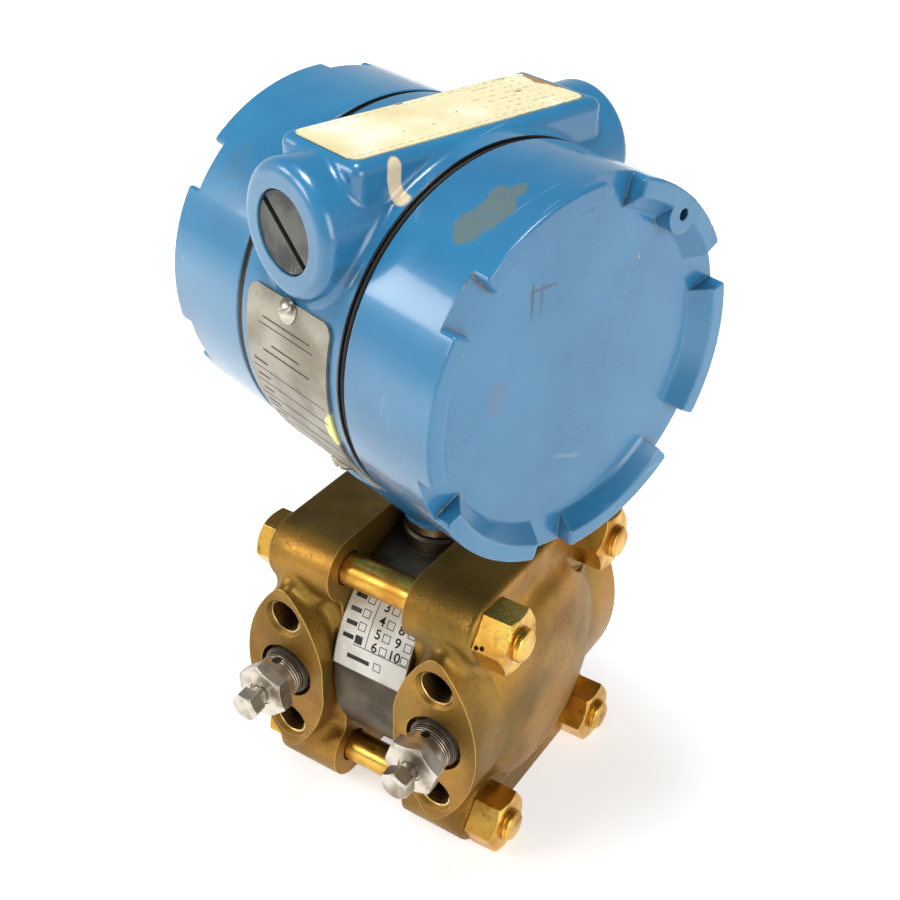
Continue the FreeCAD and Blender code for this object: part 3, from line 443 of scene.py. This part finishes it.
port_x = 0.027
pad_y = 0.043
pad_hole_rise = 0.02065
pad_thread_sink = 0.0012   # from the pad's face to the thread's start
port_thread_sink = 0.0062
thread_brass = worked_metal("thread_plating", tint(240, 208, 142), tint(150, 116, 72), 0.3)
for side, facing in (("front", -1), ("rear", 1)):
    tilt = (facing * math.pi / 2, 0, 0)
    for half, sign in (("high", 1), ("low", -1)):
        for level, rise in (("upper", pad_hole_rise), ("lower", -pad_hole_rise)):
            tapped = thread("%s_%s_%s_thread" % (side, half, level),
                            radius=0.00555, pitch=0.00127, turns=10, bite=0.0008)
            stand(tapped, (sign * port_x, facing * (pad_y - pad_thread_sink), module_axis + rise), tilt)
            tapped.data.materials.append(thread_brass)
            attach(tapped, "base")
for half, sign in (("high", 1), ("low", -1)):
    port = thread("%s_port_thread" % half, radius=0.00685, pitch=0.00141, turns=9, bite=0.0006)
    stand(port, (sign * port_x, pad_y - port_thread_sink, module_axis), (math.pi / 2, 0, 0))
    port.data.materials.append(thread_brass)
    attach(port, "base")

# ---- Flange bolts and nuts ----
# Four hexagon bolts pull the flanges on the module, with nuts on the high side. Steel, zinc plated and
# chromated. The gold has browned in clouds, and two punch dots mark the upper front nut.

gold = Finish("bolt_plating")
gold_cloud = gold.fade(gold.noise(85, 5.0), 0.36, 0.68)
gold_tool = gold.noise(1700, 2.0, (0.15, 1, 1))
gold_edge = gold.edges(0.0005)
gold_colour = gold.mix(tint(234, 189, 90), tint(192, 136, 56), gold_cloud)
gold_colour = gold.mix(gold_colour, tint(112, 78, 40), gold.fade(gold.noise(210, 6.0), 0.56, 0.74) * 0.7)
# Edges painted brighter: partly rubbed wear, partly painted highlight.
gold_colour = gold.mix(gold_colour, tint(250, 222, 150), gold_edge * 0.6)
dot_size = (0.0008, 0.0008, 0.0008)
for centre in ((0.0370, -0.0379, 0.0847), (0.0387, -0.0376, 0.0850)):
    gold_colour = gold.mix(gold_colour, tint(40, 30, 20), gold.spot(centre, dot_size, 0.2, 600))
nut_face_x = 0.0455
bolt_pitch = 0.00127
end_thread = gold.maths("SINE", gold.along(0) * (2 * math.pi / bolt_pitch)) * (gold.along(0) > nut_face_x)
gold_rough = 0.27 + gold_cloud * 0.16 + (gold_tool - 0.5) * 0.1
gold_skin = gold.bump(gold_tool * 0.1 + end_thread * 0.5, 0.0002, 0.0004)
bolt_gold = gold.surface(gold_colour, gold_rough, 0.95, gold_skin)
dress(bolt_gold, "flange_bolts", "flange_nuts")

# ---- Vent valves ----
# A stainless seat is screwed in the front of each port, and a small hexagon stem closes it.
# Both are turned from hexagon bar and left bare.

vent = Finish("stainless")
vent_stain = vent.fade(vent.noise(150, 5.0), 0.4, 0.68)
vent_tool = vent.noise(2000, 2.0, (1, 0.1, 1))
vent_sunk = vent.fade(vent.along(1), -0.0462, -0.0440)
vent_colour = vent.mix(tint(206, 198, 184), tint(140, 127, 107), vent_stain)
# Edges painted lighter: partly rubbed wear, partly painted highlight.
vent_colour = vent.mix(vent_colour, tint(244, 240, 232), vent.edges(0.0004) * 0.5)
# Darker where the seat sinks into the port, and painted shade in inner corners.
vent_sunk_and_shade = vent.greater(vent_sunk * 0.85, vent.corners(0.002) * 0.6)
vent_colour = vent.mix(vent_colour, tint(70, 58, 44), vent_sunk_and_shade)
seat_pitch = 0.00094
seat_thread = vent.maths("SINE", vent.along(1) * (2 * math.pi / seat_pitch))
seat_thread = seat_thread * vent.fade(vent.along(1), -0.0475, -0.0465)
vent_steel = vent.surface(vent_colour, 0.34 + vent_stain * 0.15 + vent_sunk * 0.2, 1.0,
                          vent.bump(vent_tool * 0.1 + seat_thread, 0.00012, 0.0003))
dress(vent_steel, "high_vent_seat", "low_vent_seat", "high_vent_stem", "low_vent_stem")

# ---- Neck ring ----
# Stainless ring that locks the housing's turn on the neck.
# Turned, with two chamfers that catch the light.

neck_steel = worked_metal("neck_steel", tint(204, 190, 168), tint(128, 108, 84), 0.25, (0.02, 0.02, 1))
dress(neck_steel, "neck_lock_ring")

# ---- Electronics housing ----
# Die-cast aluminium band with conduit bosses, deck and neck cone in one piece, sprayed blue.
# The paint is chipped at edges and scuffed on its sides; the threaded spigots under the covers are bare.

housing_turn = math.radians(-16.5)
housing_axis = 0.1632
seam_middle = 0.0216       # of each cover's seam, from the housing's middle
spigot_start = 0.0210
spigot_reach = 0.0466      # a little over the thread's radius
cover_pitch = 0.0016


def spigot_mask(paint):
    """1 on the bare threads under the covers."""
    sunk = paint.node("VectorMath", {"operation": "SUBTRACT"}, {0: paint.place, 1: (0, 0, housing_axis)})
    across = paint.node("VectorMath", {"operation": "MULTIPLY"}, {0: sunk, 1: (0, 1, 1)})
    reach = paint.node("VectorMath", {"operation": "LENGTH"}, {0: across}, out="Value")
    return (reach < spigot_reach) * (abs(paint.along(0)) > spigot_start)


def blue_paint(name, rim, stains, daubs=(), threaded=False):
    """Sprayed blue enamel, painted black within rim of the seams, with the wear of its place, painted shade
    in inner corners and a painted highlight along edges.

    A stain is a centre, a reach, a colour and a share, and a daub is the same without the share."""
    paint = Finish(name, -housing_turn)
    tone = paint.fade(paint.noise(26, 4.0), 0.3, 0.7)
    peel = paint.noise(700, 2.0)
    edge = paint.edges(0.0009)
    colour = paint.mix(tint(60, 135, 179), tint(50, 118, 163), tone)
    # Painted shade: darker blue in inner corners.
    colour = paint.mix(colour, tint(20, 44, 68), paint.corners(0.004) * 0.6)
    # Painted highlight: lighter blue along edges.
    colour = paint.mix(colour, tint(132, 186, 212), edge * 0.5)
    scuffs = paint.fade(paint.noise(34, 6.0, shift=0.2), 0.60, 0.70)
    scuffs = scuffs * paint.fade(paint.noise(900, 3.0), 0.5, 0.7)
    colour = paint.mix(colour, tint(60, 92, 116), scuffs * 0.45)
    scratched = paint.fade(paint.noise(55, 3.0, shift=0.5), 0.58, 0.64)
    hair = paint.lines(60, (1, 0.2, 0.3), 0.004) * scratched
    colour = paint.mix(colour, tint(150, 190, 212), hair * 0.3)
    for centre, reach, shade, share in stains:
        dirt = paint.spot(centre, reach, 0.9, 110) * (0.6 + paint.noise(420, 5.0) * 0.6)
        colour = paint.mix(colour, shade, dirt * share)
    chips = paint.fade(edge, 0.25, 0.6) * paint.fade(paint.noise(150, 6.0, shift=0.9), 0.60, 0.63)
    specks = paint.fade(paint.noise(330, 5.0, shift=0.4), 0.745, 0.76)
    oxide = paint.fade(paint.noise(500, 2.0), 0.42, 0.58)
    bare = paint.mix(tint(206, 164, 112), tint(96, 72, 52), oxide)
    colour = paint.mix(colour, bare, paint.greater(chips, specks))
    for centre, reach, shade in daubs:
        colour = paint.mix(colour, shade, paint.spot(centre, reach, 0.25, 180))
    # A band along each seam is painted black.
    from_seam = abs(abs(paint.along(0)) - seam_middle)
    colour = paint.mix(colour, tint(16, 18, 20), 1 - paint.fade(from_seam, rim - 0.0002, rim))
    spigot = spigot_mask(paint) * float(threaded)
    colour = paint.mix(colour, tint(176, 172, 164), spigot)
    turns = paint.maths("SINE", paint.along(0) * (2 * math.pi / cover_pitch)) * spigot
    rough = 0.23 + scuffs * 0.22 + chips * 0.3 + tone * 0.06
    height = peel * 0.25 - chips * 0.5 - specks * 0.4 + turns * 1.5
    return paint.surface(colour, rough, spigot * 0.9, paint.bump(height, 0.00008, 0.0009),
                         Coat_Weight=0.5, Coat_Roughness=0.09)


housing_paint = blue_paint(
    "housing_paint", rim=0.0013, threaded=True,
    stains=[((0.0170, -0.044, 0.190), (0.006, 0.005, 0.003), tint(56, 72, 84), 0.35)],
    daubs=[((0.0175, -0.0290, 0.2110), (0.0045, 0.0026, 0.0085), tint(236, 216, 178))])
dress(housing_paint, "electronics_housing")

conduit_start = 0.0490     # of the thread, from the housing's middle
conduit_rise = 0.0334      # of the entry over the housing's axis
conduit = thread("rear_conduit_thread", radius=0.01067, pitch=0.00181, turns=7, bite=0.0008)
stand(conduit, (0, conduit_start, housing_axis + conduit_rise), (math.pi / 2, 0, 0))
stand(conduit, (0, 0, 0), (0, 0, housing_turn))
conduit.data.materials.append(worked_metal("bare_aluminium", tint(196, 194, 190), tint(150, 146, 140), 0.3))
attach(conduit, "housing")

# ---- Conduit plug ----
# Pipe plug of dark steel with a wide slot, screwed flush in the unused front entry.
# Its face is dull grey, with scratches from the driver.

plug = Finish("plug_steel", -housing_turn)
plug_cloud = plug.fade(plug.noise(150, 5.0), 0.35, 0.65)
plug_marks = plug.lines(130, (1, 0.3, 1.5), 0.008) * plug.fade(plug.noise(90, 2.0), 0.5, 0.6)
plug_colour = plug.mix(tint(94, 94, 90), tint(70, 70, 68), plug_cloud)
# Driver scratches and edges are lighter; on the edges partly rubbed wear, partly painted highlight.
plug_bright = plug.greater(plug_marks, plug.edges(0.0004))
plug_colour = plug.mix(plug_colour, tint(160, 158, 150), plug_bright * 0.6)
dress(plug.surface(plug_colour, 0.48 + plug_cloud * 0.12, 0.55, plug.bump(plug.noise(1500, 3.0), 0.00004)),
      "conduit_plug")

# ---- Nameplate ----
# Thin stainless plate bent round the band, held by two slotted screws.
# It carries etched black rules and bars, and some yellow paint by its right edge.

plate = Finish("plate_steel", -housing_turn)
plate_brush = plate.noise(1400, 2.0, (0.03, 1, 1))
plate_cloud = plate.fade(plate.noise(60, 4.0), 0.35, 0.65)
plate_colour = plate.mix(tint(160, 155, 140), tint(130, 122, 106), plate_cloud)
plate_rust = plate.fade(plate.noise(260, 6.0), 0.64, 0.76)
plate_colour = plate.mix(plate_colour, tint(120, 106, 82), plate_rust * 0.6)
yellow_daub = plate.spot((0.0165, -0.049, 0.150), (0.003, 0.004, 0.006))
plate_colour = plate.mix(plate_colour, tint(236, 220, 140), yellow_daub)
dress(plate.surface(plate_colour, 0.33 + (plate_brush - 0.5) * 0.2 + plate_cloud * 0.08, 0.8,
                    plate.bump(plate_brush, 0.00002, 0.0002)), "nameplate")
dress(worked_metal("screw_steel", tint(196, 190, 178), tint(120, 110, 96), 0.3), "nameplate_screws")

plate_radius = 0.05175
plate_low = math.radians(-50.0)


def plate_arc(angle):
    """How far up the plate an angle of the housing lies."""
    return (math.radians(angle) - plate_low) * plate_radius


heading = ((8.5, 0.0200, 0.0004), (6.4, 0.0230, 0.0003), (1.0, 0.0120, 0.0005), (-1.6, 0.0200, 0.0005))
marks = [bar(0.0, plate_arc(angle), width, height) for angle, width, height in heading]
row_step = 5.2
for row in range(7):
    marks.append(bar(0.0, plate_arc(-9.0 - row_step * row), 0.0310, rule))
    marks.append(bar(-0.0118, plate_arc(-6.6 - row_step * row), 0.0060 - 0.0008 * (row % 3), 0.0006))
marks.append(bar(0.0130, plate_arc(-37.8), 0.0030, 0.0006))
plate_print = join("nameplate_print", marks)
roll(plate_print, plate_radius, housing_axis, plate_low, housing_turn)
plate_print.data.materials.append(ink("etched_black", tint(36, 34, 32), tint(120, 112, 96)))
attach(plate_print, "housing")

# ---- Deck label ----
# Paper label glued on the deck, cream with age. A dashed line runs inside its edge.
# Its print has faded to specks, and its rear corner is torn and scorched.

deck = Finish("deck_paper", -housing_turn)
deck_x = deck.along(0)
deck_y = deck.along(1)
blotch = deck.fade(deck.noise(48, 6.0), 0.42, 0.62)
deck_colour = deck.mix(tint(238, 230, 184), tint(248, 245, 220), blotch)
yellowed = deck.fade(deck.noise(26, 4.0, shift=0.6), 0.5, 0.7)
deck_colour = deck.mix(deck_colour, tint(222, 204, 148), yellowed * 0.7)
dash_line_x = 0.0106
dash_step = 0.0030
dash = 0.0019
print_step = 0.0030
print_height = 0.0009
edge_line = 1 - deck.fade(abs(abs(deck_x) - dash_line_x), 0.00010, 0.00022)
dashes = edge_line * ((deck_y % dash_step) < dash)
print_rows = (deck_x % print_step) < print_height
print_words = deck.fade(deck.noise(520, 1.0, (0.4, 1, 1)), 0.50, 0.56) * deck.fade(deck_y, 0.008, 0.012)
print_words = print_words * (1 - deck.fade(deck_y, 0.030, 0.033)) * print_rows
deck_marks = deck.greater(dashes * 0.4, print_words * 0.3)
ticks = deck.fade(deck.noise(300, 2.0, (1, 0.5, 1), 0.2), 0.73, 0.75)
deck_colour = deck.mix(deck_colour, tint(70, 62, 48), deck.greater(deck_marks, ticks * 0.8))
scorch = deck.spot((-0.004, 0.0367, 0.2153), (0.008, 0.0024, 0.002), 0.9, 300)
deck_colour = deck.mix(deck_colour, tint(150, 98, 48), scorch * 0.85)
deck_colour = deck.mix(deck_colour, tint(148, 118, 74), deck.edges(0.0006) * 0.55)
dress(deck.surface(deck_colour, 0.5 + blotch * 0.15, 0.0,
                   deck.bump(deck.noise(700, 4.0) * 0.5 - scorch, 0.00008)), "deck_label")

# ---- Zero and span screws, boards and terminals ----
# Under the nameplate two screws turn trimmers on the circuit side, where two boards stand on pillars.
# On the other side a moulded block carries the terminals, and sealed pins pass through the partition.

brass = worked_metal("fitting_brass", tint(214, 176, 98), tint(160, 120, 62), 0.28)
dress(brass, "zero_adjuster", "span_adjuster", "circuit_posts", "board_screws")
dress(worked_metal("terminal_plating", tint(206, 202, 194), tint(150, 144, 134), 0.26),
      "terminal_screws", "terminal_block_screws")
dress(moulding("black_moulding", tint(34, 34, 36), tint(54, 53, 52), 0.42), "terminal_block")
trimmer_blue = moulding("trimmer_blue", tint(44, 92, 156), tint(34, 72, 128), 0.38)
dress(trimmer_blue, "zero_potentiometer", "span_potentiometer")
dress(worked_metal("pin_plating", tint(220, 190, 120), tint(150, 120, 78), 0.25), "feedthroughs")

board = Finish("board_laminate", -housing_turn)
tracks = board.lines(90, (1, 1, 1), 0.05)
board_colour = board.mix(tint(38, 96, 62), tint(28, 74, 48), board.fade(board.noise(60, 3.0), 0.4, 0.6))
board_colour = board.mix(board_colour, tint(150, 150, 92), tracks * 0.6)
board_relief = board.bump(tracks + board.noise(1500) * 0.2, 0.00004)
dress(board.surface(board_colour, 0.38 + tracks * 0.1, 0.0, board_relief),
      "amplifier_board", "calibration_board")

# ---- Covers and their seals ----
# Cast aluminium caps, screwed on the band against a black O-ring, with a ring of lugs for the spanner.
# The raised face is left plain. Lug corners are chipped, and painted shade darkens the lugs' feet.

cover_rim = 0.0016
face_x = 0.0498
scribble = tint(44, 70, 96)
terminal_cover_paint = blue_paint("terminal_cover_paint", cover_rim, [
    ((0.0410, -0.0235, 0.2085), (0.0050, 0.0150, 0.0110), tint(112, 118, 96), 0.75),
    ((face_x, -0.016, 0.188), (0.002, 0.0007, 0.006), scribble, 0.8),
    ((face_x, -0.013, 0.187), (0.002, 0.0006, 0.005), scribble, 0.7),
    ((face_x, -0.013, 0.190), (0.002, 0.0050, 0.0006), scribble, 0.8),
    ((face_x, -0.026, 0.165), (0.002, 0.0030, 0.006), tint(120, 104, 128), 0.3)])
dress(terminal_cover_paint, "terminal_cover")
circuit_cover_paint = blue_paint("circuit_cover_paint", cover_rim, [
    ((-0.0400, -0.036, 0.1990), (0.0050, 0.0060, 0.0060), tint(96, 108, 96), 0.15)])
dress(circuit_cover_paint, "circuit_cover")
dress(rubber, "terminal_cover_seal", "circuit_cover_seal")

# ---- Floor, light and camera ----
# A plain white sheet under soft lamps, seen from above at the front right. It glows far off, so that it
# ends in the same white as the sky. The smallest lamp is the window that glints on the near cover.

floor_size = 6
start_piece()
bpy.ops.mesh.primitive_plane_add(size=floor_size, location=(0, 0, 0))
floor = bpy.context.object
floor.name = "floor"
sheet = Finish("floor_sheet")
away = sheet.node("VectorMath", {"operation": "LENGTH"}, {0: sheet.place}, out="Value")
glow = sheet.mix((0.55, 0.55, 0.55, 1), (1, 1, 1, 1), sheet.fade(away, 0.15, 0.6))
sheet.surface((0.86, 0.86, 0.86, 1), 0.9, 0.0, sheet.node("NewGeometry", out="Normal"),
              Emission_Color=glow, Emission_Strength=sheet.seen_by("Camera", "Glossy", "Transmission"))
floor.data.materials.append(sheet.material)

world = bpy.data.worlds.new("studio")
bpy.context.scene.world = world
world.use_nodes = True
sky = Nodes(world.node_tree)
direction = sky.node("TexCoord", out="Generated")
height = sky.node("SeparateXYZ", sockets={"Vector": direction}, out="Z")
soft_light = sky.node("MapRange", sockets={
    "Value": height, "From Min": 0.05, "From Max": 0.65, "To Min": 0.60, "To Max": 0.03})
strength = sky.node("MapRange", sockets={
    "Value": sky.seen_by("Camera", "Transmission"), "To Min": soft_light, "To Max": 1.0})
white = sky.node("Background", sockets={"Color": (1, 1, 1, 1), "Strength": strength})
sky.node("OutputWorld", sockets={"Surface": white})


def lamp(name, place, target, size, power):
    """A square soft lamp that looks at the target."""
    data = bpy.data.lights.new(name, "AREA")
    data.size = size
    data.energy = power
    made = bpy.data.objects.new(name, data)
    made.location = place
    made.rotation_euler = (Vector(target) - Vector(place)).to_track_quat("-Z", "Y").to_euler()
    bpy.context.scene.collection.objects.link(made)


middle = (0, 0, 0.11)
lamp("key", (-0.62, -0.85, 0.62), middle, 0.40, 3.6)
lamp("window", (-0.78, -0.42, 0.53), (0.02, -0.05, 0.19), 0.26, 1.5)
lamp("fill", (0.95, -0.35, 0.50), middle, 0.6, 5.2)
lamp("top", (-0.15, -0.05, 1.15), middle, 0.35, 8.0)

camera = bpy.data.objects.new("camera", bpy.data.cameras.new("camera"))
camera.data.lens = 52.08
camera.data.sensor_width = 36.0
camera.data.clip_start = 0.01
camera_place = (0.1712, -0.2665, 0.3237)
right = Vector((0.839, 0.544, 0.021)).normalized()
behind = Vector((0.445, -0.706, 0.551)).normalized()
upward = behind.cross(right).normalized()
right = upward.cross(behind)
turned = Matrix((right, upward, behind)).transposed().to_4x4()
camera.matrix_world = Matrix.Translation(camera_place) @ turned
bpy.context.scene.collection.objects.link(camera)
bpy.context.scene.camera = camera
bpy.context.scene.view_settings.view_transform = "Standard"
